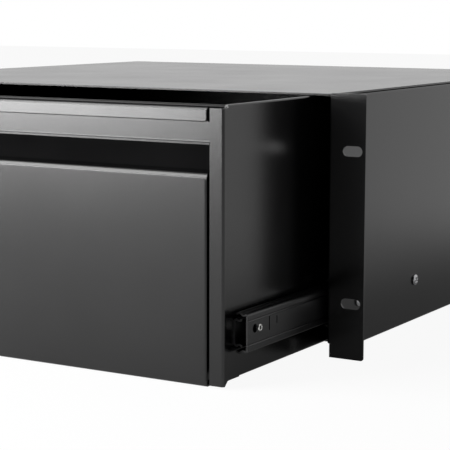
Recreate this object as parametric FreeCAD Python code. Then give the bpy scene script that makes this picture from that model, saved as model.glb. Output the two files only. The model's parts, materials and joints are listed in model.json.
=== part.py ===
"""Four-unit sliding rack drawer: sheet-steel housing with rack ears, drawer, ball-bearing slides.

Frame: X across the rack, -Y towards the front, +Z up.  The origin is the centre of the four
rack slots, on the rear face of the ears.  The drawer is modelled partly open.  Millimetres.
"""
import FreeCAD, Part
import math
import os

os.makedirs("parts", exist_ok=True)
V = FreeCAD.Vector

# ---- rack interface -------------------------------------------------------------------------
rack_width = 482.6          # across both ears
ear_height = 177.0          # four rack units less the panel clearance
ear_width = 25.3            # ear beyond the housing's side
slot_inset = 9.5            # slot centres from the ear's outer edge
slot_spacing_z = 101.6      # centre to centre up one ear
slot_length = 14.2          # end to end, along X
slot_width = 7.0
ear_corner_radius = 1.6

# ---- folds ----------------------------------------------------------------------------------
bend = 0.4                  # inner bend radius of the folded sheets
hem_gap = 0.2               # daylight inside a closed hem
hem_length = 8.0
flange_relief = 4.0         # daylight between neighbouring flanges at a corner

# ---- housing --------------------------------------------------------------------------------
housing_depth = 417.0       # ear front face to rear
side_sheet = 1.5            # side panels and ears
cover_sheet = 1.2           # cover, base pan and back panel
cover_drop = 0.5            # cover's top face below the ear tops
bottom_rise = 0.4           # housing underside above the ear bottoms
side_flange = 11.0          # inward flanges of the side panels, over the sheet
base_setback = 35.0         # ear front face to the base pan's front edge
cover_rear_flange = 15.0
ear_relief_height = 9.0     # notch between the ear's foot and the side wall
ear_relief_depth = 6.0
base_upstand = 12.0         # base pan's folded-up rear edge

# ---- drawer ---------------------------------------------------------------------------------
drawer_sheet = 1.2
drawer_depth = 402.0        # front face to back
drawer_open = 114.4         # how far out the drawer stands as modelled
drawer_top_gap = 0.5        # under the housing's cover
drawer_floor_gap = 1.5      # over the housing's base pan
drawer_flange = 13.0        # inward bottom and rear flanges, over the sheet
front_flange = 10.0         # the sides' flanges seen beside the front panel
front_flange_drop = 2.3     # its top edge below the sides' top
front_flange_rise = 1.5     # its bottom edge above the ear bottoms
fold_start = 5.5            # the sides' other folds begin this far from their ends
foot_slope = 3.5            # length of the sloping step from front flange to bottom edge

# ---- drawer front ---------------------------------------------------------------------------
front_top_drop = 4.3        # pull bar's top below the ear tops
pull_fold_height = 8.5      # visible height of the pull bar's folded-over strip
pull_bar_height = 22.2
pull_lip_bend = 1.1         # inner bend radius of its bottom edge, turned forward
pull_lip_gap = 0.3          # between that lip and the sides' front flanges
pull_corner_radius = 2.0
pull_hem_gap = 0.1
finger_gap = 17.4           # recess between the pull bar and the front panel
panel_rise = 0.3            # front panel's bottom above the ear bottoms
panel_gap = 2.1             # between the front panel and the sides' front flanges
front_box_depth = 19.5      # front face to the inner wall
panel_rear_flange = 16.0
panel_side_return = 9.0
panel_edge_bend = 1.8       # inner bend radius of the panel's top edge
inner_wall_drop = 1.3       # its top below the sides' top
inner_wall_flange = 14.0

# ---- telescopic slides ----------------------------------------------------------------------
slide_length = 400.0
slide_setback = 12.3        # drawer's front face to the front end of its slide member
slide_rise = 34.0           # centre of the slides above the ear bottoms
slide_space = 12.7          # between the drawer side and the housing side
rail_sheet = 1.2
ball_radius = 1.6
ball_gap = 0.25             # all round a ball, in its race and in its cage
race_depth = 0.65           # how deep a race is rolled into its flange
middle_half_height = 12.4   # middle member, centre to flange
web_gap = 1.4               # between the webs of the outer and middle members
outer_ball_offset = 7.2     # ball rows, from the drawer side
inner_ball_offset = 3.9
outer_lip_inset = 5.0       # the members' flange edges, from the drawer side
middle_lip_inset = 1.7
inner_lip_reach = 6.1
stage_travel = 195.0        # middle member out of the outer one
drawer_travel = 200.0       # drawer member out of the middle one
cage_sheet = 0.5
cage_end_margin = 5.0       # cage to the members' ends at full extension
cage_rim = 0.6              # cage left beside a ball's window
balls_per_row = 4
ball_end_margin = 12.0      # first ball's centre from the cage's end
ball_sides = 6              # flats round a ball
ball_bands = 4              # and from pole to pole
cage_web_gap = 0.45         # between an outer cage and the web beside it
inner_cage_web = 7.9        # inner cage's web, from the drawer side
web_bead_offset = 7.6       # stiffening grooves along the middle member's web
web_bead_depth = 0.45
web_bead_radius = 0.9
rail_bend = 0.6             # inner bend radius of the members

# ---- fasteners ------------------------------------------------------------------------------
turned_sides = 10           # flats round a screw, a rivet or its hole
screw_radius = 2.0
screw_head_radius = 4.0
screw_head_height = 2.2
fit_gap = 0.05              # round a screw's or rivet's shank
drill_reach = 4.0           # a hole's cutter, either side of its point
rail_screw_places = (32.0, 128.0, 352.0)        # from the outer member's front end
rail_screw_drop = 2.5       # below the slide's centre
drawer_screw_places = (44.0, 172.0, 364.0)      # from the drawer member's front end
rivet_head_radius = 2.4
rivet_head_height = 0.9
rivet_place = (14.9, 1.5)   # from the middle member's front end, above its centre
access_hole = (9.0, 2.0, 2.8)                   # the same, and its radius
stop_slit = (27.4, 2.1, 1.2, 9.0)               # the same, and its width and height
stop_lance = (37.2, 2.9, 1.0, 5.0)
small_screw_radius = 1.5
small_head_radius = 2.8
small_head_height = 1.6
panel_screw_x = 150.0
panel_screw_inset = 4.0     # from the edge of the panel's rear flange

# ---- worked-out places ----------------------------------------------------------------------
ear_front = -side_sheet
slot_spacing_x = rack_width - 2 * slot_inset
housing_half = rack_width / 2 - ear_width
housing_inner = housing_half - side_sheet
ear_top = ear_height / 2
cover_top = ear_top - cover_drop
side_top = cover_top - cover_sheet
housing_bottom = bottom_rise - ear_top
housing_rear = ear_front + housing_depth
side_rear = housing_rear - cover_sheet
base_front = ear_front + base_setback
base_z = housing_bottom + side_sheet

drawer_top = side_top - drawer_top_gap
drawer_bottom = base_z + cover_sheet + drawer_floor_gap
front_flange_top = drawer_top - front_flange_drop
front_flange_bottom = front_flange_rise - ear_top
front_top = ear_top - front_top_drop
pull_bar_bottom = front_top - pull_bar_height
panel_top = pull_bar_bottom - finger_gap
panel_bottom = panel_rise - ear_top
inner_wall_top = drawer_top - inner_wall_drop
slide_z = slide_rise - ear_top

drawer_half = housing_inner - slide_space
drawer_inner = drawer_half - drawer_sheet
front_y = ear_front - drawer_open
drawer_rear = front_y + drawer_depth
panel_half = drawer_half - front_flange - panel_gap
inner_wall_y = front_y + front_box_depth
pan_z = drawer_bottom + drawer_sheet

drawer_flange_x = drawer_inner - drawer_flange
drawer_hem = 2 * drawer_sheet + hem_gap
pan_top = pan_z + drawer_sheet
wall_half = drawer_half - drawer_hem - hem_gap  # inner wall and back, between the hems
back_y = drawer_rear - drawer_sheet
pull_fold = 2 * drawer_sheet + pull_hem_gap
pull_end = drawer_inner - bend - 2 * hem_gap
pull_lip_half = drawer_half - front_flange - pull_lip_gap

outer_start = ear_front + slide_setback
inner_start = front_y + slide_setback
middle_start = inner_start
race_radius = ball_radius + ball_gap
race_offset = race_radius - race_depth          # ball centre to the flange that carries it
outer_ball_z = middle_half_height + race_offset
outer_half_height = outer_ball_z + race_offset + rail_sheet
inner_ball_z = middle_half_height - rail_sheet - race_offset
inner_half_height = inner_ball_z - race_offset
middle_web = slide_space - rail_sheet - web_gap
cage_length = slide_length - max(stage_travel, drawer_travel) - 2 * cage_end_margin


# ---- geometry helpers -----------------------------------------------------------------------
def lift(plane, u, v):
    """A point of a drawing in plane XY, XZ or YZ."""
    return {"XY": V(u, v, 0), "XZ": V(u, 0, v), "YZ": V(0, u, v)}[plane]


def across(plane, length):
    """The vector of that length along the plane's third axis."""
    return {"XY": V(0, 0, length), "XZ": V(0, length, 0), "YZ": V(length, 0, 0)}[plane]


def extrude(plane, outline, span):
    """Prism between the two ends of span; outline lists its corners as (u, v, fillet radius)."""
    points = [lift(plane, u, v) for u, v, radius in outline]
    edges = []
    ends = []
    for i, here in enumerate(points):
        radius = outline[i][2]
        if not radius:
            ends.append((here, here, None))
            continue
        before = (points[i - 1] - here).normalize()
        after = (points[(i + 1) % len(points)] - here).normalize()
        half = before.getAngle(after) / 2
        crown = (before + after).normalize() * (radius / math.sin(half) - radius)
        reach = radius / math.tan(half)
        ends.append((here + before * reach, here + after * reach, here + crown))
    for i, (start, stop, crown) in enumerate(ends):
        if (start - ends[i - 1][1]).Length > 1e-6:
            edges.append(Part.LineSegment(ends[i - 1][1], start).toShape())
        if crown:
            edges.append(Part.Arc(start, crown, stop).toShape())
    face = Part.Face(Part.Wire(edges))
    face.translate(across(plane, span[0]))
    return face.extrude(across(plane, span[1] - span[0]))


def folded_sheet(plane, path, sheet, span, radius=bend):
    """Sheet of one thickness laid to the right of an open path and extruded over span.

    Each path point is (u, v) or (u, v, inner bend radius).
    """
    steps = [(b[0] - a[0], b[1] - a[1]) for a, b in zip(path, path[1:])]
    rights = [(v / math.hypot(u, v), -u / math.hypot(u, v)) for u, v in steps]
    near = []
    far = []
    for i, (u, v, *own) in enumerate(path):
        a = rights[max(i - 1, 0)]
        b = rights[min(i, len(rights) - 1)]
        share = sheet / (1 + a[0] * b[0] + a[1] * b[1])
        tight = own[0] if own else radius
        wide = tight + sheet
        if i in (0, len(path) - 1):
            tight = wide = 0
        if a[0] * b[1] - a[1] * b[0] < 0:
            tight, wide = wide, tight
        near.append((u, v, tight))
        far.append((u + (a[0] + b[0]) * share, v + (a[1] + b[1]) * share, wide))
    return extrude(plane, near + far[::-1], span)


def box(x, y, z):
    """Block between three pairs of limits."""
    return Part.makeBox(x[1] - x[0], y[1] - y[0], z[1] - z[0], V(x[0], y[0], z[0]))


def rod(centre, direction, radius, length):
    """Cylinder centred lengthwise on a point."""
    return Part.makeCylinder(radius, length, centre - direction * (length / 2), direction)


def slot(plane, centre, size, depth):
    """Round-ended cutter of size (width, height), depth long and centred on a point."""
    u, v = size[0] / 2, size[1] / 2
    radius = min(u, v)
    cutter = extrude(plane, [(-u, -v, radius), (u, -v, radius), (u, v, radius), (-u, v, radius)],
                     (-depth / 2, depth / 2))
    cutter.translate(centre)
    return cutter


def turned(profile, sides, seat, direction):
    """Solid turned round a direction from seat, in flats; profile lists (radius, height) upwards."""
    turns = [2 * math.pi * i / sides for i in range(sides)]
    rings = [[V(radius * math.cos(turn), radius * math.sin(turn), height) for turn in turns]
             for radius, height in profile]
    faces = []
    for lower, upper in zip(rings, rings[1:]):
        for i in range(sides):
            loop = [lower[i - 1], lower[i], upper[i], upper[i - 1]]
            corners = [p for j, p in enumerate(loop) if (p - loop[j - 1]).Length > 1e-6]
            faces.append(Part.Face(Part.makePolygon(corners + corners[:1])))
    solid = Part.Solid(Part.Shell(faces)).removeSplitter()
    solid.Placement = FreeCAD.Placement(seat, FreeCAD.Rotation(V(0, 0, 1), direction))
    return solid


def drilled(shape, points, direction, radius):
    """The shape with a fastener's hole through each point."""
    size = radius + fit_gap
    for point in points:
        drill = [(0, -drill_reach), (size, -drill_reach), (size, drill_reach), (0, drill_reach)]
        shape = shape.cut(turned(drill, turned_sides, point, direction))
    return shape


def fastener(seat, direction, head, shank):
    """Pan head of (radius, height) standing on seat, with a shank of (radius, length) behind."""
    head_radius, head_height = head
    radius, length = shank
    shoulder = head_height * 0.6
    crown = head_radius * 0.7
    profile = [(0, -length), (radius, -length), (radius, 0), (head_radius, 0), (head_radius, shoulder),
               (crown, head_height), (0, head_height)]
    return turned(profile, turned_sides, seat, direction)


def fasteners(points, direction, head, shank):
    return [fastener(point, direction, head, shank) for point in points]


def mirrored(shape):
    """The same shape on the other side of the rack's centre plane."""
    return shape.mirror(V(0, 0, 0), V(1, 0, 0))


def both_sides(points):
    return [V(side * p.x, p.y, p.z) for side in (1, -1) for p in points]


def save(name, *shapes):
    """Write one node; identical pieces share it as separate solids."""
    solids = [solid for shape in shapes for solid in shape.Solids]
    for solid in solids:
        if not solid.isValid() or solid.Volume <= 0:
            raise ValueError(f"{name} has an invalid solid")
    shape = solids[0] if len(solids) == 1 else Part.makeCompound(solids)
    shape.exportStep(f"parts/{name}.step")
    print(f"{name}: {len(solids)} solid(s), {sum(s.Volume for s in solids) / 1000:.2f} cm3")


def save_pair(name, *shapes):
    """Write the right-hand piece and its mirror image as two nodes."""
    save(f"{name}_right", *shapes)
    save(f"{name}_left", *[mirrored(shape) for shape in shapes])


# ---- housing --------------------------------------------------------------------------------
def rail_screw_points():
    """Where the outer members are screwed on: points on the right side panel's outer face."""
    z = slide_z - rail_screw_drop
    return [V(housing_half, outer_start + place, z) for place in rail_screw_places]


def back_screw_points():
    """Points on the back panel's rear face: four into the side flanges, two into the cover."""
    x = housing_inner - side_flange / 2
    inset = 2 * side_flange
    corners = [V(x, housing_rear, z) for z in (housing_bottom + inset, side_top - inset)]
    return both_sides(corners + [V(housing_half / 2, housing_rear, cover_top - cover_rear_flange / 2)])


def side_panel():
    """Right-hand side with its rack ear and its top, bottom and rear flanges."""
    ear_x = rack_width / 2
    lip_x = housing_inner - side_flange
    fold = side_sheet + bend
    front = ear_front + ear_relief_depth
    rear = side_rear - fold
    flanges_end = rear - flange_relief
    top_start = front + flange_relief
    ear = folded_sheet("XY", [(ear_x, ear_front), (housing_inner, ear_front), (housing_inner, front)],
                       side_sheet, (-ear_top, ear_top))
    notch = box((housing_inner - 1, housing_inner + fold), (ear_front - 1, front + 1),
                (-ear_top - 1, housing_bottom + ear_relief_height))
    under_cover = box((housing_inner - 1, housing_half), (ear_front - 1, front + 1), (side_top, ear_top + 1))
    ear = ear.cut(notch).cut(under_cover)
    corners = [e for e in ear.Edges if e.BoundBox.XMin > ear_x - 1e-6 and e.BoundBox.YLength > side_sheet / 2]
    ear = ear.makeFillet(ear_corner_radius, corners)
    wall = box((housing_inner, housing_half), (front, rear), (housing_bottom, side_top))
    wall = wall.cut(box((housing_inner - 1, housing_half + 1), (top_start, flanges_end),
                        (side_top - fold, side_top + 1)))
    wall = wall.cut(box((housing_inner - 1, housing_half + 1), (base_front, flanges_end),
                        (housing_bottom - 1, housing_bottom + fold)))
    top = folded_sheet("XZ", [(lip_x, side_top), (housing_half, side_top), (housing_half, side_top - fold)],
                       side_sheet, (top_start, flanges_end))
    bottom = folded_sheet("XZ", [(housing_half, housing_bottom + fold), (housing_half, housing_bottom),
                                 (lip_x, housing_bottom)], side_sheet, (base_front, flanges_end))
    back = folded_sheet("XY", [(housing_inner, rear), (housing_inner, side_rear - side_sheet),
                               (lip_x, side_rear - side_sheet)],
                        side_sheet, (housing_bottom + fold + flange_relief, side_top - fold - flange_relief))
    panel = wall.fuse([ear, top, bottom, back]).removeSplitter()
    for z in (-slot_spacing_z / 2, slot_spacing_z / 2):
        centre = V(slot_spacing_x / 2, -side_sheet / 2, z)
        panel = panel.cut(slot("XZ", centre, (slot_length, slot_width), 2 * side_sheet))
    panel = drilled(panel, rail_screw_points(), V(1, 0, 0), screw_radius)
    return drilled(panel, back_screw_points(), V(0, 1, 0), small_screw_radius)


def top_cover():
    """Flat cover on the side panels' top flanges, folded down behind to meet the back panel."""
    fold = cover_sheet + bend
    rear_half = housing_inner - side_flange - flange_relief
    flat = box((-housing_half, housing_half), (ear_front, side_rear), (side_top, cover_top))
    flat = flat.cut(box((-rear_half, rear_half), (side_rear - fold, side_rear + 1),
                        (side_top - 1, cover_top + 1)))
    path = [(side_rear - fold, cover_top), (side_rear, cover_top), (side_rear, cover_top - cover_rear_flange)]
    rear = folded_sheet("YZ", path, cover_sheet, (-rear_half, rear_half))
    cover = flat.fuse(rear).removeSplitter()
    return drilled(cover, back_screw_points(), V(0, 1, 0), small_screw_radius)


def back_panel():
    """Flat back over the side panels' rear flanges and the cover's."""
    panel = box((-housing_half, housing_half), (side_rear, housing_rear), (housing_bottom, side_top))
    return drilled(panel, back_screw_points(), V(0, 1, 0), small_screw_radius)


def base_pan():
    """Floor of the housing, on the side panels' bottom flanges, folded up at the rear."""
    rear = side_rear - side_sheet
    path = [(rear, base_z + base_upstand), (rear, base_z), (base_front, base_z)]
    return folded_sheet("YZ", path, cover_sheet, (bend - housing_inner, housing_inner - bend))


# ---- slides ---------------------------------------------------------------------------------
def channel(web, lip, half_height, sheet, span, radius=rail_bend):
    """Right-hand channel round the slide's centre line, its faces measured from the drawer side."""
    path = [(lip, half_height), (web, half_height), (web, -half_height), (lip, -half_height)]
    if lip > web:
        path.reverse()
    return folded_sheet("XZ", [(drawer_half + u, slide_z + v) for u, v in path], sheet, span, radius)


def race(member, offset, height, start, outward):
    """The member with a ball race rolled along both flanges.

    outward is 1 where the flange lies beyond its balls and -1 where it lies within them.
    """
    reach = race_radius + rail_sheet
    for side in (1, -1):
        x = drawer_half + offset
        z = slide_z + side * height
        back_face = z + side * outward * (race_offset + rail_sheet)
        beyond = sorted((back_face, back_face + side * outward * reach))
        bead = Part.makeCylinder(reach, slide_length, V(x, start, z), V(0, 1, 0))
        bead = bead.common(box((x - reach, x + reach), (start, start + slide_length), beyond))
        member = member.fuse(bead)
        member = member.cut(Part.makeCylinder(race_radius, slide_length, V(x, start, z), V(0, 1, 0)))
    return member.removeSplitter()


def outer_rail():
    """Member on the housing's side."""
    span = (outer_start, outer_start + slide_length)
    member = channel(slide_space, outer_lip_inset, outer_half_height, rail_sheet, span)
    member = race(member, outer_ball_offset, outer_ball_z, outer_start, 1)
    return drilled(member, rail_screw_points(), V(1, 0, 0), screw_radius)


def web_place(place, lift_by):
    """Point on the middle member's web face, from its front end and above its centre."""
    return V(drawer_half + middle_web, middle_start + place, slide_z + lift_by)


def middle_rail():
    """Member that runs between the other two, with races on both faces of its flanges."""
    span = (middle_start, middle_start + slide_length)
    member = channel(middle_web, middle_lip_inset, middle_half_height, rail_sheet, span)
    member = race(member, outer_ball_offset, outer_ball_z, middle_start, -1)
    member = race(member, inner_ball_offset, inner_ball_z, middle_start, 1)
    for side in (1, -1):
        axis = V(drawer_half + middle_web - web_bead_depth + web_bead_radius, middle_start,
                 slide_z + side * web_bead_offset)
        member = member.cut(Part.makeCylinder(web_bead_radius, slide_length, axis, V(0, 1, 0)))
    member = drilled(member, [web_place(*rivet_place)], V(1, 0, 0), small_screw_radius)
    member = member.cut(rod(web_place(*access_hole[:2]), V(1, 0, 0), access_hole[2], 4 * rail_sheet))
    for place, rise, width, height in (stop_slit, stop_lance):
        centre = web_place(place, rise)
        member = member.cut(box((centre.x - 2 * rail_sheet, centre.x + rail_sheet),
                                (centre.y - width / 2, centre.y + width / 2),
                                (centre.z - height / 2, centre.z + height / 2)))
    return member


def drawer_screw_points():
    """Points on the drawer member's web, inside its channel, where it is screwed to the drawer."""
    x = drawer_half + rail_sheet
    return [V(x, inner_start + place, slide_z) for place in drawer_screw_places]


def inner_rail():
    """Member on the drawer's side."""
    span = (inner_start, inner_start + slide_length)
    member = channel(0, inner_lip_reach, inner_half_height, rail_sheet, span)
    member = race(member, inner_ball_offset, inner_ball_z, inner_start, -1)
    return drilled(member, drawer_screw_points(), V(1, 0, 0), screw_radius)


def ball_points(offset, height, centre):
    """Ball centres of one cage: evenly spaced rows in both flanges."""
    pitch = (cage_length - 2 * ball_end_margin) / (balls_per_row - 1)
    first = centre - cage_length / 2 + ball_end_margin
    return [V(drawer_half + offset, first + i * pitch, slide_z + side * height)
            for side in (1, -1) for i in range(balls_per_row)]


def cage(web, offset, height, centre):
    """Ball cage: thin channel with a window round each ball."""
    span = (centre - cage_length / 2, centre + cage_length / 2)
    strip = channel(web, offset - race_radius - cage_rim, height + cage_sheet / 2, cage_sheet, span, 0)
    for p in ball_points(offset, height, centre):
        strip = strip.cut(box((p.x - race_radius, p.x + race_radius), (p.y - race_radius, p.y + race_radius),
                              (p.z - cage_sheet, p.z + cage_sheet)))
    return strip


def ball(centre):
    """Bearing ball, its surface laid out in flats."""
    polars = [math.pi * band / ball_bands for band in range(ball_bands + 1)]
    profile = [(ball_radius * math.sin(polar), -ball_radius * math.cos(polar)) for polar in polars]
    return turned(profile, ball_sides, centre, V(0, 0, 1))


# ---- drawer ---------------------------------------------------------------------------------
def drawer_side():
    """Right-hand side: hemmed top, flange in front, flanges below and behind."""
    fold = drawer_sheet + bend
    start = front_y + fold_start
    end = drawer_rear - fold_start
    hem_x = drawer_half - drawer_hem
    wall = folded_sheet("XZ", [(hem_x, drawer_top - hem_length), (hem_x, drawer_top, hem_gap / 2),
                               (drawer_half, drawer_top, hem_gap / 2), (drawer_half, drawer_bottom + fold)],
                        drawer_sheet, (start, end))
    foot = box((drawer_inner, drawer_half), (start, inner_wall_y), (drawer_bottom, drawer_bottom + fold))
    bottom = folded_sheet("XZ", [(drawer_half, drawer_bottom + fold), (drawer_half, drawer_bottom),
                                 (drawer_flange_x, drawer_bottom)], drawer_sheet, (inner_wall_y, end))
    front = folded_sheet("XY", [(drawer_half, start), (drawer_half, front_y),
                                (drawer_half - front_flange, front_y)],
                         drawer_sheet, (front_flange_bottom, front_flange_top))
    slope = extrude("YZ", [(start + 1, front_flange_bottom - 1, 0), (start + 1, drawer_bottom, 0),
                           (start, drawer_bottom, 0), (start - foot_slope, front_flange_bottom, 0),
                           (start - foot_slope, front_flange_bottom - 1, 0)],
                    (drawer_inner - 1, drawer_half + 1))
    path = [(drawer_flange_x, drawer_rear), (drawer_half, drawer_rear), (drawer_half, end)]
    rear = folded_sheet("XY", path, drawer_sheet,
                        (pan_top + flange_relief, drawer_top - hem_length - flange_relief))
    side = wall.fuse([foot, bottom, front.cut(slope), rear]).removeSplitter()
    return drilled(side, drawer_screw_points(), V(1, 0, 0), screw_radius)


def drawer_bottom_sheet():
    """Floor of the drawer, on the sides' bottom flanges."""
    half = drawer_inner - bend
    return box((-half, half), (inner_wall_y, back_y), (pan_z, pan_top))


def panel_screw_points():
    """Points on the inner wall's rear face where the front panel is screwed on."""
    y = inner_wall_y + drawer_sheet
    inset = panel_rear_flange - panel_screw_inset
    return both_sides([V(panel_screw_x, y, z) for z in (panel_bottom + inset, panel_top - inset)])


def inner_wall():
    """Wall behind the front panel: hemmed top, foot on the floor, flanges along the sides."""
    wall = folded_sheet("YZ", [(inner_wall_y + inner_wall_flange, pan_top), (inner_wall_y, pan_top),
                               (inner_wall_y, inner_wall_top, hem_gap / 2),
                               (inner_wall_y + drawer_hem, inner_wall_top, hem_gap / 2),
                               (inner_wall_y + drawer_hem, inner_wall_top - hem_length)],
                        drawer_sheet, (-wall_half, wall_half))
    tip = inner_wall_y + inner_wall_flange
    returns = folded_sheet("XY", [(drawer_inner, tip), (drawer_inner, inner_wall_y),
                                  (-drawer_inner, inner_wall_y), (-drawer_inner, tip)],
                           drawer_sheet,
                           (pan_top + flange_relief, inner_wall_top - hem_length - flange_relief))
    wall = wall.fuse(returns).removeSplitter()
    return drilled(wall, panel_screw_points(), V(0, 1, 0), small_screw_radius)


def drawer_back():
    """Back of the drawer: hemmed top and a foot on the floor."""
    path = [(back_y - drawer_hem, drawer_top - hem_length), (back_y - drawer_hem, drawer_top, hem_gap / 2),
            (back_y, drawer_top, hem_gap / 2), (back_y, pan_top), (back_y - inner_wall_flange, pan_top)]
    return folded_sheet("YZ", path, drawer_sheet, (-wall_half, wall_half))


def front_panel():
    """Main panel: shallow folded box screwed to the inner wall, its top edge the finger shelf."""
    box_path = [(inner_wall_y, panel_bottom + panel_rear_flange), (inner_wall_y, panel_bottom),
                (front_y, panel_bottom), (front_y, panel_top, panel_edge_bend),
                (inner_wall_y, panel_top), (inner_wall_y, panel_top - panel_rear_flange)]
    panel = folded_sheet("YZ", box_path, drawer_sheet, (-panel_half, panel_half))
    tip = front_y + panel_side_return
    returns = folded_sheet("XY", [(panel_half, tip), (panel_half, front_y), (-panel_half, front_y),
                                  (-panel_half, tip)],
                           drawer_sheet, (panel_bottom + flange_relief, panel_top - flange_relief))
    middle = box((bend + drawer_sheet - panel_half, panel_half - bend - drawer_sheet),
                 (front_y, front_y + drawer_sheet), (panel_bottom + flange_relief, panel_top - flange_relief))
    ends = panel.cut(box((-panel_half - 1, panel_half + 1), (front_y - 1, front_y + drawer_sheet + bend),
                         (panel_bottom + flange_relief, panel_top - flange_relief)))
    panel = ends.fuse([returns, middle]).removeSplitter()
    return drilled(panel, panel_screw_points(), V(0, 1, 0), small_screw_radius)


def pull_bar():
    """Finger pull across the front: folded over at the top, turned forward at the bottom.

    Its band runs on behind the sides' front flanges.
    """
    fold_bottom = front_top - pull_fold_height
    rear = front_y + pull_fold
    face = rear - drawer_sheet
    lip_top = pull_bar_bottom + drawer_sheet + pull_lip_bend
    strip = folded_sheet("YZ", [(front_y, fold_bottom), (front_y, front_top, pull_hem_gap / 2),
                                (rear, front_top, pull_hem_gap / 2), (rear, lip_top)],
                         drawer_sheet, (-panel_half, panel_half))
    corners = [e for e in strip.Edges if e.BoundBox.YLength > drawer_sheet / 2
               and e.BoundBox.YMax < front_y + 1.01 * drawer_sheet and e.BoundBox.ZMax < fold_bottom + 1e-6
               and e.BoundBox.XLength < 1e-6]
    strip = strip.makeFillet(pull_corner_radius, corners)
    lip = folded_sheet("YZ", [(rear, lip_top), (rear, pull_bar_bottom, pull_lip_bend),
                              (front_y, pull_bar_bottom)], drawer_sheet, (-pull_lip_half, pull_lip_half))
    band = box((-pull_end, pull_end), (face, rear), (lip_top, fold_bottom))
    tail = box((pull_lip_half, pull_end), (face, rear), (pull_bar_bottom, lip_top))
    return strip.fuse([band, lip, tail, mirrored(tail)]).removeSplitter()


# ---- build ----------------------------------------------------------------------------------
screw_head = (screw_head_radius, screw_head_height)
small_head = (small_head_radius, small_head_height)
rivet_head = (rivet_head_radius, rivet_head_height)
outer_centre = (outer_start + middle_start + slide_length) / 2
inner_centre = (middle_start + inner_start + slide_length) / 2
outer_cage_web = slide_space - rail_sheet - cage_web_gap

save_pair("side_panel", side_panel())
save("top_cover", top_cover())
save("back_panel", back_panel())
save("base_pan", base_pan())
save("back_panel_screws", *fasteners(back_screw_points(), V(0, 1, 0), small_head,
                                     (small_screw_radius, 2 * cover_sheet)))
save_pair("rail_screws", *fasteners(rail_screw_points(), V(1, 0, 0), screw_head,
                                    (screw_radius, side_sheet + rail_sheet)))

save_pair("outer_rail", outer_rail())
save_pair("outer_cage", cage(outer_cage_web, outer_ball_offset, outer_ball_z, outer_centre))
save_pair("outer_balls", *[ball(p) for p in ball_points(outer_ball_offset, outer_ball_z, outer_centre)])
save_pair("middle_rail", middle_rail())
save_pair("middle_rivet", fastener(web_place(*rivet_place), V(1, 0, 0), rivet_head,
                                   (small_screw_radius, rail_sheet)))
save_pair("inner_cage", cage(inner_cage_web, inner_ball_offset, inner_ball_z, inner_centre))
save_pair("inner_balls", *[ball(p) for p in ball_points(inner_ball_offset, inner_ball_z, inner_centre)])
save_pair("inner_rail", inner_rail())
save_pair("drawer_rail_screws", *fasteners(drawer_screw_points(), V(1, 0, 0), screw_head,
                                           (screw_radius, rail_sheet + drawer_sheet)))

save_pair("drawer_side", drawer_side())
save("drawer_bottom", drawer_bottom_sheet())
save("drawer_back", drawer_back())
save("inner_front_wall", inner_wall())
save("front_panel", front_panel())
save("pull_bar", pull_bar())
save("front_panel_screws", *fasteners(panel_screw_points(), V(0, 1, 0), small_head,
                                      (small_screw_radius, 2 * drawer_sheet)))
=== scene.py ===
"""Looks of the sliding rack drawer: camera, light, floor, coats and small round pieces."""
import json
import math

import bmesh
import bpy
from mathutils import Matrix, Vector


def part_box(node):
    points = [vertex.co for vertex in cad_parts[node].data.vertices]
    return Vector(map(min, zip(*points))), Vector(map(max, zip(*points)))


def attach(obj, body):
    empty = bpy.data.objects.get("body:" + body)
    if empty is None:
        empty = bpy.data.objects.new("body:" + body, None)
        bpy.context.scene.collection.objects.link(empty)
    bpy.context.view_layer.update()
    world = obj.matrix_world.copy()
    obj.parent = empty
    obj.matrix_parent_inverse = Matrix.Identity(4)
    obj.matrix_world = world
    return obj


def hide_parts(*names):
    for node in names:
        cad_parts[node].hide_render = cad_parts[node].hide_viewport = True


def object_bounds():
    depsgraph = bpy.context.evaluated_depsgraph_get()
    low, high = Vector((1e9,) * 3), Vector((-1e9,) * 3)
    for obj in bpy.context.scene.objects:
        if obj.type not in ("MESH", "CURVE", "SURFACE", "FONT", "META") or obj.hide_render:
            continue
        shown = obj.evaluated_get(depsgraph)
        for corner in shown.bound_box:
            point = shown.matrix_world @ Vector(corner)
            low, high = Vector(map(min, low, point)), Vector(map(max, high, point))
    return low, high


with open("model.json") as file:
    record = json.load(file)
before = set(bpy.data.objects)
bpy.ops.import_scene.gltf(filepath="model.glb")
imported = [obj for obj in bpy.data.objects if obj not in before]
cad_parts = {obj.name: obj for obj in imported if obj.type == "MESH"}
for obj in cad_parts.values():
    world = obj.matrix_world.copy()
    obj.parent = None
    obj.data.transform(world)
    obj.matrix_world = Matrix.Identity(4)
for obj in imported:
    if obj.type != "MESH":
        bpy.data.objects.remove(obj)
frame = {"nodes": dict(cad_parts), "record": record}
cad_low, cad_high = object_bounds()

# Lengths are in metres and angles in radians. +Y points into the rack, and +Z up.
# ---- camera ---------------------------------------------------------------------------------
CAMERA_PLACE = (0.67759, -0.91692, 0.14622)
CAMERA_TURN = 0.5351          # to the left of +Y
CAMERA_DIP = 0.1411           # below the horizon
CAMERA_ROLL = 0.0025
CAMERA_LENS = 124.5           # mm
CAMERA_SENSOR = 36.0          # mm
CAMERA_CLIP = (0.05, 50.0)

# ---- light and floor ------------------------------------------------------------------------
WORLD_LIGHT = 0.88            # backdrop, behind and beside the object
ROOM_LIGHT = 0.06             # room on the camera's side
ROOM_EDGE = (-0.55, 0.15)     # Y of a direction, from all room to all backdrop
FILL_LIGHT = 0.4              # share of both that reaches matt surfaces
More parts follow.
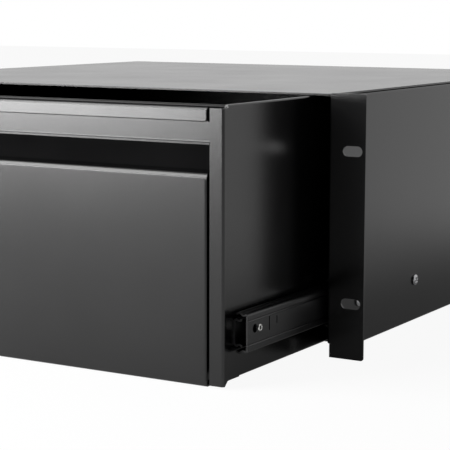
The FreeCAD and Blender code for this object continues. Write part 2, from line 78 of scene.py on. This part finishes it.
# One tall bank of softboxes in front, to the left: name, place, target, size, watts.
LAMPS = (
    ("low", (-0.77, -0.86, 0.05), (0.08, -0.116, 0.05), (1.0, 0.08), 6.6),
    ("level", (-0.77, -0.86, 0.14), (0.08, -0.116, 0.14), (1.0, 0.10), 5.2),
    ("middle", (-0.77, -0.86, 0.42), (0.08, -0.116, 0.20), (1.0, 0.18), 5.6),
    ("high", (-0.77, -0.86, 0.62), (0.08, -0.116, 0.10), (1.0, 0.24), 8.2),
    ("higher", (-0.70, -0.80, 0.88), (0.08, -0.116, 0.0), (1.0, 0.30), 7.6),
    ("highest", (-0.55, -0.65, 1.10), (0.08, -0.116, 0.0), (1.0, 0.30), 7.4),
)
FLOOR_HALF = 6.0
FLOOR_GREY = 0.8
FLOOR_GLOW = 0.93             # share of plain white in the floor as the camera sees it
MIRROR_GLOW = 0.70            # the same in mirrors
PAINTED_SHADOW_GLOW = 0.1             # the same in mirrors beside the object, where it is a painted shadow: the white share drops by distance from the object alone
PAINTED_SHADOW_REACH = 0.4            # how far from the object that painted shadow fades out

# ---- coats ----------------------------------------------------------------------------------
PAINT = (0.002, 0.002, 0.0022)
RAIL_PAINT = (0.004, 0.004, 0.0045)
PLATING = (0.6, 0.6, 0.58)
DARK_PLATING = (0.42, 0.42, 0.43)
NOISE_SPAN = (0.3, 0.7)       # the values that noise mostly has
TONE_SCALE = 9.0              # noise in the tone, and how far that departs from the colour
TONE_SPREAD = 0.15
GLOSS_SCALE = 14.0            # noise in the gloss, and how far that departs from the roughness
GLOSS_SPREAD = 0.075
# Reliefs: the noise's scale and the height.
POWDER_GRAIN = (2500.0, 0.00001)
DULL_GRAIN = (2500.0, 0.00002)
ORANGE_PEEL = (320.0, 0.000015)
METAL_GRAIN = (900.0, 0.000005)
DULL_SPECULAR = 0.12          # of the inner front wall, whose low specular and high roughness paint shade into the recess behind the pull bar
HEM_HEIGHT = 0.080            # where that wall turns glossy, over a short blend
HEM_BLEND = 0.001
HEM_ROUGHNESS = 0.25          # share of the wall's roughness above that height

# ---- shapes ---------------------------------------------------------------------------------
SAME_PLACE = 1e-6             # corners of a CAD mesh this near each other are one
BEND_ANGLE = math.radians(28)  # facets of a bend meet at less than this
SHARP_ANGLE = 1.0             # faces at a sheet's cut edge meet at more than this
STRIP_HEIGHT = 0.0086         # the strip along the pull bar's top
STRIP_FOLD = 0.0013           # from the bar's top to where the strip is flat
STRIP_SLOPE = 0.015           # how far the strip leans back, over its height
STRIP_EDGE = 0.0006           # round of the strip's cut edges
STRIP_EDGE_STEPS = 3
OUTSIDE = 0.001               # margin of the strip's boxes in front of the bar and above it
LEAN_DEPTH = 0.0005           # how far behind the bar's front those boxes reach
RIM_DEPTH = 0.0003

# ---- fasteners and balls --------------------------------------------------------------------
SCREW = (0.004, 0.002, 0.0022)  # head radius, shank radius, head height
SMALL_SCREW = (0.0028, 0.0015, 0.0016)
RIVET = (0.0024, 0.0015, 0.0009)
RIVET_ROLL = ((0.95, 0), (1, 0.15), (0.98, 0.45), (0.91, 0.75), (0.8, 0.95), (0.7, 1), (0.61, 0.92),
              (0.55, 0.65), (0.52, 0))  # (radius over the head's, height over the head's), to the bore
CROSS_ARM = (0.62, 0.17)      # a screw's cross recess: arm length and half width, over the head's radius
CROSS_DEPTH = 0.65            # over the head's height
CROSS_SLACK = 1.001           # a turn this near the corner of an arm counts as on its end
CROSS_STEPS = (-45, -36, -27, -15.4, -7, 7, 15.4, 27, 36)  # degrees, round one of its arms
TURNS = [math.radians(90 * quarter + step) for quarter in range(4) for step in CROSS_STEPS]
CREASE = math.radians(32)     # faces of a small piece that meet at more than this stay sharp
BALL_BANDS = 15
BALL_FLAT = 0.35              # from a ball's pole to its flat's edge, over its bands' spacing


# ---- nodes ----------------------------------------------------------------------------------
def maths(tree, operation, value, other):
    """Output of a Math node, whose inputs are numbers or sockets."""
    node = tree.nodes.new("ShaderNodeMath")
    node.operation = operation
    for socket, item in zip(node.inputs, (value, other)):
        if isinstance(item, float):
            socket.default_value = item
        else:
            tree.links.new(item, socket)
    return node.outputs[0]


def ranged(tree, value, source, target, interpolation="LINEAR"):
    """Output of a Map Range node that takes one span of values to another."""
    node = tree.nodes.new("ShaderNodeMapRange")
    node.interpolation_type = interpolation
    for name, number in zip(("From Min", "From Max", "To Min", "To Max"), (*source, *target)):
        node.inputs[name].default_value = number
    tree.links.new(value, node.inputs["Value"])
    return node.outputs[0]


def axes_of(tree, place):
    """Sockets X, Y and Z of a vector socket."""
    split = tree.nodes.new("ShaderNodeSeparateXYZ")
    tree.links.new(place, split.inputs[0])
    return split.outputs


def camera_ray(tree):
    """Socket that is 1 for camera rays."""
    return tree.nodes.new("ShaderNodeLightPath").outputs["Is Camera Ray"]


def seen_ray(tree):
    """Socket that is 1 for camera, mirror and see-through rays."""
    path = tree.nodes.new("ShaderNodeLightPath")
    mirrored = maths(tree, "MAXIMUM", path.outputs["Is Glossy Ray"], path.outputs["Is Transmission Ray"])
    return maths(tree, "MAXIMUM", path.outputs["Is Camera Ray"], mirrored)


# ---- camera, light and floor ----------------------------------------------------------------
def make_camera():
    """Camera at the picture's viewpoint."""
    data = bpy.data.cameras.new("camera")
    data.lens = CAMERA_LENS
    data.sensor_width = CAMERA_SENSOR
    data.clip_start, data.clip_end = CAMERA_CLIP
    camera = bpy.data.objects.new("camera", data)
    bpy.context.scene.collection.objects.link(camera)
    camera.location = CAMERA_PLACE
    turn = Matrix.Rotation(CAMERA_TURN, 4, "Z")
    dip = Matrix.Rotation(math.pi / 2 - CAMERA_DIP, 4, "X")
    roll = Matrix.Rotation(CAMERA_ROLL, 4, "Z")
    camera.rotation_mode = "QUATERNION"
    camera.rotation_quaternion = (turn @ dip @ roll).to_quaternion()
    bpy.context.scene.camera = camera


def softbox(name, place, target, size, power):
    """Rectangular area light aimed at a point."""
    data = bpy.data.lights.new(name, "AREA")
    data.shape = "RECTANGLE"
    data.size, data.size_y = size
    data.energy = power
    lamp = bpy.data.objects.new(name, data)
    bpy.context.scene.collection.objects.link(lamp)
    lamp.location = place
    lamp.rotation_mode = "QUATERNION"
    lamp.rotation_quaternion = (Vector(target) - Vector(place)).to_track_quat("-Z", "Y")
    lamp.visible_camera = False


def make_world():
    """Backdrop behind and beside the object, a dim room on the camera's side, and white for the camera."""
    world = bpy.data.worlds.new("studio")
    world.use_nodes = True
    tree = world.node_tree
    direction = axes_of(tree, tree.nodes.new("ShaderNodeTexCoord").outputs["Generated"])
    light = ranged(tree, direction["Y"], ROOM_EDGE, (ROOM_LIGHT, WORLD_LIGHT), "SMOOTHSTEP")
    fill = ranged(tree, seen_ray(tree), (0.0, 1.0), (FILL_LIGHT, 1.0))
    strength = maths(tree, "MAXIMUM", maths(tree, "MULTIPLY", light, fill), camera_ray(tree))
    background = tree.nodes["Background"]
    background.inputs["Color"].default_value = (1, 1, 1, 1)
    tree.links.new(strength, background.inputs["Strength"])
    bpy.context.scene.world = world


def away_from_object(tree):
    """Socket with the distance along the floor from the object's box."""
    middle = (cad_low + cad_high) / 2
    half = (cad_high - cad_low) / 2
    steps = (("SUBTRACT", middle), ("ABSOLUTE", None), ("SUBTRACT", half), ("MAXIMUM", (0, 0, 0)),
             ("MULTIPLY", (1, 1, 0)), ("LENGTH", None))
    value = tree.nodes.new("ShaderNodeTexCoord").outputs["Object"]
    for operation, other in steps:
        step = tree.nodes.new("ShaderNodeVectorMath")
        step.operation = operation
        tree.links.new(value, step.inputs[0])
        if other is not None:
            step.inputs[1].default_value = other
        value = step.outputs["Value" if operation == "LENGTH" else "Vector"]
    return value


def floor_white(tree):
    """Socket with the floor's share of white: full for the camera, less in mirrors near the object, which
    paints a shadow beside the object in mirrors.
    """
    reach = (0.0, PAINTED_SHADOW_REACH)
    # Painted shadow in mirrors: less white near the object, by distance alone.
    mirror = ranged(tree, away_from_object(tree), reach, (PAINTED_SHADOW_GLOW, MIRROR_GLOW), "SMOOTHSTEP")
    camera = maths(tree, "MULTIPLY", camera_ray(tree), FLOOR_GLOW)
    return maths(tree, "MULTIPLY", seen_ray(tree), maths(tree, "MAXIMUM", camera, mirror))


def make_floor():
    """Pale floor that keeps the shadow and is near white where the camera sees it; in mirrors it has a
    painted shadow near the object.
    """
    mesh = bpy.data.meshes.new("floor")
    corners = [(x * FLOOR_HALF, y * FLOOR_HALF, cad_low.z) for x, y in ((-1, -1), (1, -1), (1, 1), (-1, 1))]
    mesh.from_pydata(corners, [], [(0, 1, 2, 3)])
    floor = bpy.data.objects.new("floor", mesh)
    bpy.context.scene.collection.objects.link(floor)
    material = bpy.data.materials.new("floor")
    material.use_nodes = True
    tree = material.node_tree
    tree.nodes.clear()
    diffuse = tree.nodes.new("ShaderNodeBsdfDiffuse")
    diffuse.inputs["Color"].default_value = (FLOOR_GREY, FLOOR_GREY, FLOOR_GREY, 1)
    glow = tree.nodes.new("ShaderNodeEmission")
    glow.inputs["Color"].default_value = (1, 1, 1, 1)
    mix = tree.nodes.new("ShaderNodeMixShader")
    tree.links.new(floor_white(tree), mix.inputs[0])
    tree.links.new(diffuse.outputs[0], mix.inputs[1])
    tree.links.new(glow.outputs[0], mix.inputs[2])
    out = tree.nodes.new("ShaderNodeOutputMaterial")
    tree.links.new(mix.outputs[0], out.inputs["Surface"])
    mesh.materials.append(material)


# ---- materials ------------------------------------------------------------------------------
def noise(tree, scale, detail):
    """Socket with noise that is fixed to the object."""
    node = tree.nodes.new("ShaderNodeTexNoise")
    node.inputs["Scale"].default_value = scale
    node.inputs["Detail"].default_value = detail
    tree.links.new(tree.nodes.new("ShaderNodeTexCoord").outputs["Object"], node.inputs["Vector"])
    return node.outputs["Fac"]


def bump(tree, relief, detail):
    """Bump node for a relief of noise."""
    scale, height = relief
    node = tree.nodes.new("ShaderNodeBump")
    node.inputs["Strength"].default_value = 1.0
    node.inputs["Distance"].default_value = height
    tree.links.new(noise(tree, scale, detail), node.inputs["Height"])
    return node


def coat(name, colour, roughness, grain, peel=None, metallic=0.0):
    """Powder coat or plating: grain and orange peel in the relief, slow changes in gloss and tone."""
    material = bpy.data.materials.new(name)
    material.use_nodes = True
    tree = material.node_tree
    shader = tree.nodes["Principled BSDF"]
    shader.inputs["Metallic"].default_value = metallic
    tone = tree.nodes.new("ShaderNodeMix")
    tone.data_type = "RGBA"
    tone.inputs["A"].default_value = (*[c * (1 - TONE_SPREAD) for c in colour], 1)
    tone.inputs["B"].default_value = (*[c * (1 + TONE_SPREAD) for c in colour], 1)
    tone_share = ranged(tree, noise(tree, TONE_SCALE, detail=3.0), NOISE_SPAN, (0.0, 1.0))
    tree.links.new(tone_share, tone.inputs["Factor"])
    tree.links.new(tone.outputs["Result"], shader.inputs["Base Color"])
    gloss_span = (roughness * (1 - GLOSS_SPREAD), roughness * (1 + GLOSS_SPREAD))
    gloss = ranged(tree, noise(tree, GLOSS_SCALE, detail=4.0), NOISE_SPAN, gloss_span)
    tree.links.new(gloss, shader.inputs["Roughness"])
    fine = bump(tree, grain, detail=2.0)
    if peel:
        wave = bump(tree, peel, detail=1.0)
        tree.links.new(wave.outputs["Normal"], fine.inputs["Normal"])
    tree.links.new(fine.outputs["Normal"], shader.inputs["Normal"])
    return material


def dull_shaded_coat():
    """Black coat of the inner front wall: dull and with little specular, which paints shade into the recess
    behind the pull bar; glossy on its hem.
    """
    material = coat("shaded_flat_black", PAINT, roughness=0.9, grain=DULL_GRAIN, peel=ORANGE_PEEL)
    tree = material.node_tree
    shader = tree.nodes["Principled BSDF"]
    # Little specular: painted shade in the recess.
    shader.inputs["Specular IOR Level"].default_value = DULL_SPECULAR
    rough = shader.inputs["Roughness"]
    place = axes_of(tree, tree.nodes.new("ShaderNodeTexCoord").outputs["Object"])
    share = ranged(tree, place["Z"], (HEM_HEIGHT - HEM_BLEND, HEM_HEIGHT), (1.0, HEM_ROUGHNESS))
    tree.links.new(maths(tree, "MULTIPLY", rough.links[0].from_socket, share), rough)
    return material


# ---- CAD nodes ------------------------------------------------------------------------------
def node_group(name):
    """Empty node group for geometry, with its first and last sockets."""
    group = bpy.data.node_groups.new(name, "GeometryNodeTree")
    group.interface.new_socket("Geometry", in_out="INPUT", socket_type="NodeSocketGeometry")
    group.interface.new_socket("Geometry", in_out="OUTPUT", socket_type="NodeSocketGeometry")
    start = group.nodes.new("NodeGroupInput").outputs[0]
    end = group.nodes.new("NodeGroupOutput").inputs[0]
    return group, start, end


def edge_angle(group):
    """Socket with the angle between an edge's faces."""
    return group.nodes.new("GeometryNodeInputMeshEdgeAngle").outputs["Unsigned Angle"]


def soften():
    """Node group that joins a CAD mesh's corners and shades its bends smooth."""
    group, start, end = node_group("soften")
    nodes, links = group.nodes, group.links
    merge = nodes.new("GeometryNodeMergeByDistance")
    merge.inputs["Distance"].default_value = SAME_PLACE
    links.new(start, merge.inputs["Geometry"])
    drop = nodes.new("GeometryNodeRemoveAttribute")
    drop.inputs["Name"].default_value = "custom_normal"
    links.new(merge.outputs[0], drop.inputs["Geometry"])
    faces = nodes.new("GeometryNodeSetShadeSmooth")
    faces.domain = "FACE"
    links.new(drop.outputs[0], faces.inputs["Geometry"])
    bend = nodes.new("FunctionNodeCompare")
    bend.data_type = "FLOAT"
    bend.operation = "LESS_THAN"
    bend.inputs["B"].default_value = BEND_ANGLE
    links.new(edge_angle(group), bend.inputs["A"])
    edges = nodes.new("GeometryNodeSetShadeSmooth")
    edges.domain = "EDGE"
    links.new(faces.outputs[0], edges.inputs["Geometry"])
    links.new(bend.outputs["Result"], edges.inputs["Shade Smooth"])
    links.new(edges.outputs[0], end)
    return group


def in_box(group, place, low, high):
    """Socket that is 1 where a place lies between two corners (y, z)."""
    inside = None
    for axis, least, most in (("Y", low[0], high[0]), ("Z", low[1], high[1])):
        for operation, limit in (("GREATER_THAN", least), ("LESS_THAN", most)):
            test = maths(group, operation, place[axis], limit)
            inside = test if inside is None else maths(group, "MULTIPLY", inside, test)
    return inside


def lean(low, high, slope):
    """Node group that leans the surface in a box back, about the box's bottom."""
    group, start, end = node_group("lean")
    place = axes_of(group, group.nodes.new("GeometryNodeInputPosition").outputs[0])
    push = maths(group, "MULTIPLY", maths(group, "SUBTRACT", place["Z"], low[1]), slope)
    offset = group.nodes.new("ShaderNodeCombineXYZ")
    group.links.new(maths(group, "MULTIPLY", push, in_box(group, place, low, high)), offset.inputs["Y"])
    move = group.nodes.new("GeometryNodeSetPosition")
    group.links.new(start, move.inputs["Geometry"])
    group.links.new(offset.outputs[0], move.inputs["Offset"])
    group.links.new(move.outputs[0], end)
    return group


def rim(low, high):
    """Node group that marks the sharp edges in a box for rounding."""
    group, start, end = node_group("rim")
    place = axes_of(group, group.nodes.new("GeometryNodeInputPosition").outputs[0])
    sharp = maths(group, "GREATER_THAN", edge_angle(group), SHARP_ANGLE)
    marked = maths(group, "MULTIPLY", in_box(group, place, low, high), sharp)
    mark = group.nodes.new("GeometryNodeStoreNamedAttribute")
    mark.data_type = "FLOAT"
    mark.domain = "EDGE"
    mark.inputs["Name"].default_value = "bevel_weight_edge"
    group.links.new(start, mark.inputs["Geometry"])
    group.links.new(marked, mark.inputs["Value"])
    group.links.new(mark.outputs[0], end)
    return group


def finish_node(name, material, *groups, rounding=0.0):
    """Give a CAD node its material, the rounding of its marked edges and its shading."""
    piece = frame["nodes"][name]
    for slot in piece.material_slots:
        slot.material = material
    for group in groups:
        piece.modifiers.new(group.name, "NODES").node_group = group
    if rounding:
        bevel = piece.modifiers.new("edges", "BEVEL")
        bevel.width = rounding
        bevel.segments = STRIP_EDGE_STEPS
        bevel.limit_method = "WEIGHT"
        bevel.use_clamp_overlap = False
    flats = piece.modifiers.new("flats", "WEIGHTED_NORMAL")
    flats.keep_sharp = True


def finish_pull_bar(material, smooth):
    """Lean the pull bar's strip back and round its cut edges."""
    front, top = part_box("pull_bar")[0].y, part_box("pull_bar")[1].z
    low = (front - OUTSIDE, top - STRIP_HEIGHT)
    strip = lean(low, (front + LEAN_DEPTH, top + OUTSIDE), STRIP_SLOPE)
    strip_rim = rim(low, (front + RIM_DEPTH, top - STRIP_FOLD))
    finish_node("pull_bar", material, strip, smooth, strip_rim, rounding=STRIP_EDGE)


# ---- small pieces ---------------------------------------------------------------------------
def solids(name):
    """Lowest and highest corner of each separate solid in a CAD node's mesh."""
    cad = bmesh.new()
    cad.from_mesh(frame["nodes"][name].data)
    bmesh.ops.remove_doubles(cad, verts=cad.verts, dist=SAME_PLACE)
    seen = set()
    boxes = []
    for first in cad.verts:
        if first in seen:
            continue
        seen.add(first)
        found = [first]
        for vert in found:
            for edge in vert.link_edges:
                other = edge.other_vert(vert)
                if other not in seen:
                    seen.add(other)
                    found.append(other)
        axes = list(zip(*[vert.co for vert in found]))
        boxes.append((Vector([min(axis) for axis in axes]), Vector([max(axis) for axis in axes])))
    cad.free()
    return boxes


def circle(radius, height):
    """Round ring: the same (radius, height) at each turn."""
    return [(radius, height)] * len(TURNS)


def cross(arm, half_width, height):
    """Ring round a cross recess; height gives the level at a radius."""
    ring = []
    for turn in TURNS:
        angle = abs((turn + math.pi / 4) % (math.pi / 2) - math.pi / 4)
        radius = arm if math.tan(angle) * arm <= half_width * CROSS_SLACK else half_width / math.sin(angle)
        ring.append((radius, height(radius)))
    return ring


def turn_solid(mesh, seat, direction, rings, hollow=False):
    """Closed solid round an axis through rings of (radius, height above the seat)."""
    side = direction.orthogonal().normalized()
    other = direction.cross(side)
    outward = [side * math.cos(turn) + other * math.sin(turn) for turn in TURNS]
    loops = []
    for ring in rings:
        points = [seat + direction * height + out * radius for out, (radius, height) in zip(outward, ring)]
        loops.append([mesh.verts.new(point) for point in points])
    if hollow:
        loops.append(loops[0])
    count = len(TURNS)
    for low, high in zip(loops, loops[1:]):
        for i in range(count):
            mesh.faces.new((low[i], low[(i + 1) % count], high[(i + 1) % count], high[i]))
    if hollow:
        return
    for loop, ring, step in ((loops[0], rings[0], -1), (loops[-1], rings[-1], 1)):
        centre = mesh.verts.new(seat + direction * min(height for radius, height in ring))
        for i in range(count):
            mesh.faces.new((loop[i], loop[(i + step) % count], centre))


def screw_rings(head, head_height, shank, shank_length):
    """Plain shank, and a pan head with a cross recess, in shares of their radii and heights."""
    def dome(radius):
        return head_height * (1 - 0.5 * (radius / head) ** 3)

    arm, half_width = CROSS_ARM[0] * head, CROSS_ARM[1] * head
    floor = head_height * (1 - CROSS_DEPTH)
    return [
        circle(shank * 0.85, -shank_length),
        circle(shank, -shank_length + shank * 0.15),
        circle(shank, 0),
        circle(head * 0.96, 0),
        circle(head, head_height * 0.1),
        circle(head, head_height * 0.38),
        *[circle(head * share, dome(head * share)) for share in (0.97, 0.88, 0.75)],
        cross(arm * 1.03, half_width * 1.12, dome),
        cross(arm * 0.97, half_width * 0.94, lambda radius: dome(radius) - head_height * 0.06),
        cross(arm * 0.6, half_width * 0.7, lambda radius: floor),
        cross(arm * 0.2, half_width * 0.5, lambda radius: floor * 0.8),
    ]


def rivet_rings(head, head_height, shank, shank_length):
    """Hollow shank with a rolled-over rim."""
    return [
        circle(shank * 0.9, -shank_length),
        circle(shank, -shank_length * 0.85),
        circle(shank, 0),
        *[circle(head * across, head_height * up) for across, up in RIVET_ROLL],
        circle(head * RIVET_ROLL[-1][0], -shank_length),
    ]


def ball_rings(radius):
    """Ball with a small flat at each pole, where its axis was ground."""
    spacing = math.pi / (BALL_BANDS - 1 + 2 * BALL_FLAT)
    polars = [spacing * (band + BALL_FLAT) for band in range(BALL_BANDS)]
    return [circle(radius * math.sin(polar), -radius * math.cos(polar)) for polar in polars]


def finish_small(name, node, body, material, mesh):
    """Object from a bmesh that stands for a CAD node."""
    for edge in mesh.edges:
        edge.smooth = edge.calc_face_angle(0) < CREASE
    for face in mesh.faces:
        face.smooth = True
    data = bpy.data.meshes.new(name)
    mesh.to_mesh(data)
    mesh.free()
    data.materials.append(material)
    piece = bpy.data.objects.new(name, data)
    bpy.context.scene.collection.objects.link(piece)
    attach(piece, body)
    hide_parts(node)


def fasteners(node, body, direction, size, rings, material, hollow=False):
    """Screws or rivets in place of a CAD node's."""
    head, shank, head_height = size
    direction = Vector(direction)
    axis = max(range(3), key=lambda i: abs(direction[i]))
    mesh = bmesh.new()
    for low, high in solids(node):
        seat = (low + high) / 2
        tip = high[axis] if direction[axis] > 0 else low[axis]
        seat[axis] = tip - direction[axis] * head_height
        shank_length = high[axis] - low[axis] - head_height
        turn_solid(mesh, seat, direction, rings(head, head_height, shank, shank_length), hollow)
    finish_small(node + "_turned", node, body, material, mesh)


def balls(node, body, material):
    """Round bearing balls in place of a CAD node's."""
    mesh = bmesh.new()
    for low, high in solids(node):
        radius = (high.z - low.z) / 2
        turn_solid(mesh, (low + high) / 2, Vector((0, 0, 1)), ball_rings(radius))
    finish_small(node + "_round", node, body, material, mesh)


# ---- scene ----------------------------------------------------------------------------------
make_camera()
make_world()
make_floor()
for name, place, target, size, power in LAMPS:
    softbox(name, place, target, size, power)

bpy.context.scene.view_settings.view_transform = "Standard"

black = coat("black_coat", PAINT, roughness=0.23, grain=POWDER_GRAIN, peel=ORANGE_PEEL)
shaded_flat_black = dull_shaded_coat()
steel = coat("rail_steel", RAIL_PAINT, roughness=0.33, grain=METAL_GRAIN)
plated = coat("plated", PLATING, roughness=0.3, grain=METAL_GRAIN, metallic=1.0)
dark_screw = coat("dark_screw", DARK_PLATING, roughness=0.25, grain=METAL_GRAIN, metallic=1.0)

slots = {row["node"]: row["material_slot"] for row in frame["record"]["subparts"]}
for side, out in (("right", (1, 0, 0)), ("left", (-1, 0, 0))):
    fasteners(f"rail_screws_{side}", "housing", out, SCREW, screw_rings, dark_screw)
    fasteners(f"drawer_rail_screws_{side}", "drawer", out, SCREW, screw_rings, dark_screw)
    fasteners(f"middle_rivet_{side}", "middle_slides", out, RIVET, rivet_rings, plated, hollow=True)
    balls(f"outer_balls_{side}", "outer_cages", plated)
    balls(f"inner_balls_{side}", "inner_cages", plated)
fasteners("back_panel_screws", "housing", (0, 1, 0), SMALL_SCREW, screw_rings, dark_screw)
fasteners("front_panel_screws", "drawer", (0, 1, 0), SMALL_SCREW, screw_rings, dark_screw)

smooth = soften()
for name, kind in slots.items():
    if name == "inner_front_wall":
        # Painted shade: the inner front wall's dull coat keeps the recess dark.
        finish_node(name, shaded_flat_black, smooth)
    elif name == "pull_bar":
        finish_pull_bar(black, smooth)
    elif kind.endswith("coat"):
        finish_node(name, black, smooth)
    elif kind == "rail_steel":
        finish_node(name, steel, smooth)
    elif kind == "cage_steel":
        finish_node(name, plated, smooth)
